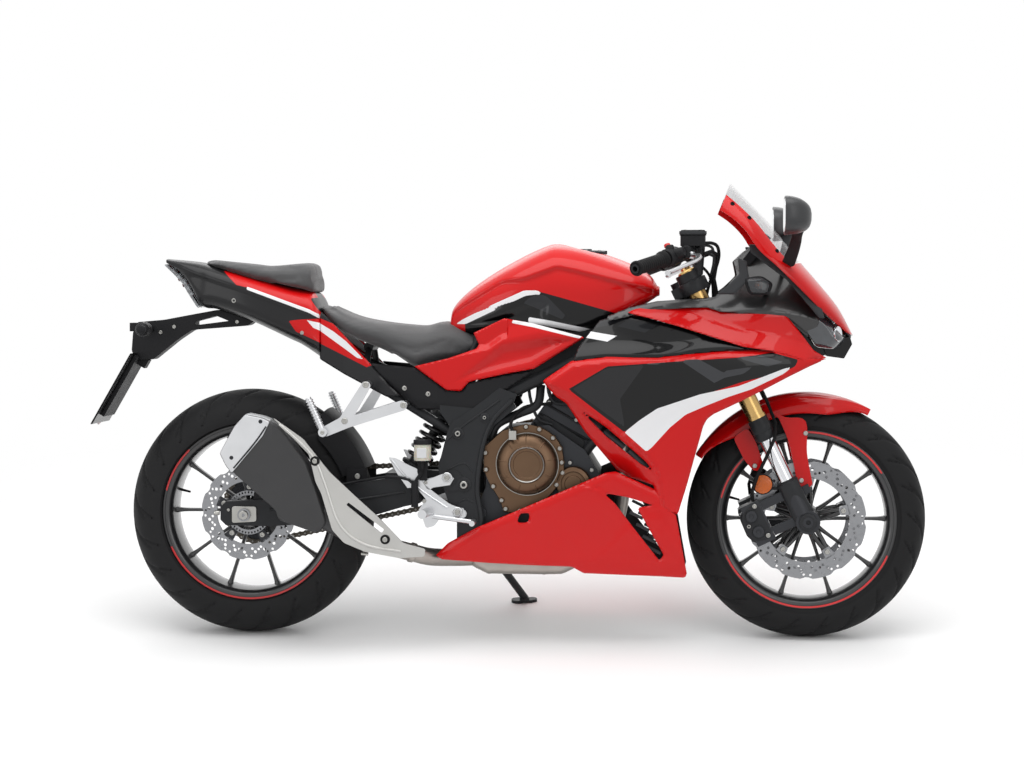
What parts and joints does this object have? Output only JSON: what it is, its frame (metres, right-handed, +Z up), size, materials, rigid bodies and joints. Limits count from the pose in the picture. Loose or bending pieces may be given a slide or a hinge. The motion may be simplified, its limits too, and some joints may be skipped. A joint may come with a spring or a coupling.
{
  "type": "sport motorcycle",
  "caption": "Middleweight sport bike with a half fairing, clip-on bars, two-piece seat, steerable front fork, spinning wheels and a folding side stand.",
  "frame": {"origin": "middle of the bounding box at floor level, with the bike leaning 9 degrees to its left on its side stand", "axes": "+X forward, +Y to the rider's left, +Z up"},
  "size_m": [2.1119, 0.7847, 1.136],
  "materials": {
    "tyre": "matte",
    "wheel_black": "gloss",
    "disc_steel": "satin",
    "chain_steel": "satin",
    "fork_gold": "satin",
    "chrome": "polished",
    "cast_black": "satin",
    "axle_steel": "satin",
    "grip_rubber": "matte",
    "black_plastic": "satin",
    "red_paint": "gloss",
    "frame_steel": "satin",
    "cap_metal": "satin",
    "engine_alloy": "satin",
    "bronze_alloy": "satin",
    "radiator_alloy": "satin",
    "exhaust_steel": "satin",
    "muffler_steel": "satin",
    "guard_steel": "satin",
    "shock_steel": "satin",
    "seat_cover": "matte",
    "tail_paint": "gloss",
    "lamp_red": "gloss",
    "lamp_clear": "gloss",
    "screen_clear": "gloss",
    "peg_alloy": "satin"
  },
  "bodies": {
    "chassis": {"chain": "chain_steel", "rear_axle": "axle_steel", "frame": "frame_steel", "engine": "engine_alloy", "engine_covers": "bronze_alloy", "radiator": "radiator_alloy", "exhaust_pipe": "exhaust_steel", "muffler": "muffler_steel", "muffler_guard": "guard_steel", "swingarm": "frame_steel", "rear_hugger": "black_plastic", "rear_shock": "shock_steel", "fuel_tank": "red_paint", "rider_seat": "seat_cover", "pillion_seat": "seat_cover", "tail_cowl": "tail_paint", "tail_light": "lamp_red", "plate_holder": "black_plastic", "turn_signals": "lamp_clear", "side_covers": "red_paint", "frame_covers": "black_plastic", "side_fairings": "red_paint", "belly_fairing": "red_paint", "nose_cowl": "red_paint", "windscreen": "screen_clear", "headlights": "lamp_clear", "mirrors": "black_plastic", "cockpit_trim": "black_plastic", "instruments": "black_plastic", "fairing_stay": "frame_steel", "rear_brake": "black_plastic", "rider_footpegs": "peg_alloy", "pillion_footpegs": "peg_alloy"},
    "steering": {"fork_tubes": "fork_gold", "fork_stanchions": "chrome", "fork_feet": "cast_black", "front_axle": "axle_steel", "triple_clamps": "cast_black", "handlebars": "cast_black", "grips": "grip_rubber", "bar_controls": "black_plastic", "front_fender": "red_paint", "front_calipers": "cast_black", "front_brake_hoses": "grip_rubber"},
    "front_wheel": {"front_tyre": "tyre", "front_rim": "wheel_black", "front_discs": "disc_steel"},
    "rear_wheel": {"rear_tyre": "tyre", "rear_rim": "wheel_black", "rear_disc": "disc_steel", "rear_sprocket": "chain_steel"},
    "side_stand": {"side_stand": "frame_steel"},
    "fuel_cap": {"fuel_cap": "cap_metal"}
  },
  "joints": [
    {"name": "steering_turn", "type": "hinge", "parent": "chassis", "child": "steering", "pos_m": [0.49163, -0.03385, 0.76271], "axis": [-0.4305, 0.1412, 0.8915], "range_deg": [-28, 28]},
    {"name": "front_wheel_spin", "type": "hinge", "parent": "steering", "child": "front_wheel", "pos_m": [0.7575, -0.1076, 0.29705], "axis": [0, 0.9877, -0.1564], "continuous": true},
    {"name": "rear_wheel_spin", "type": "hinge", "parent": "chassis", "child": "rear_wheel", "pos_m": [-0.6525, -0.10569, 0.30914], "axis": [0, 0.9877, -0.1564], "continuous": true},
    {"name": "side_stand_fold", "type": "hinge", "parent": "chassis", "child": "side_stand", "pos_m": [-0.0695, 0.00961, 0.18053], "axis": [0.2769, 0.7108, 0.6466], "range_deg": [0, 108]},
    {"name": "fuel_cap_open", "type": "hinge", "parent": "chassis", "child": "fuel_cap", "pos_m": [0.2535, -0.00177, 0.96527], "axis": [0, 0.9877, -0.1564], "range_deg": [0, 85]}
  ]
}
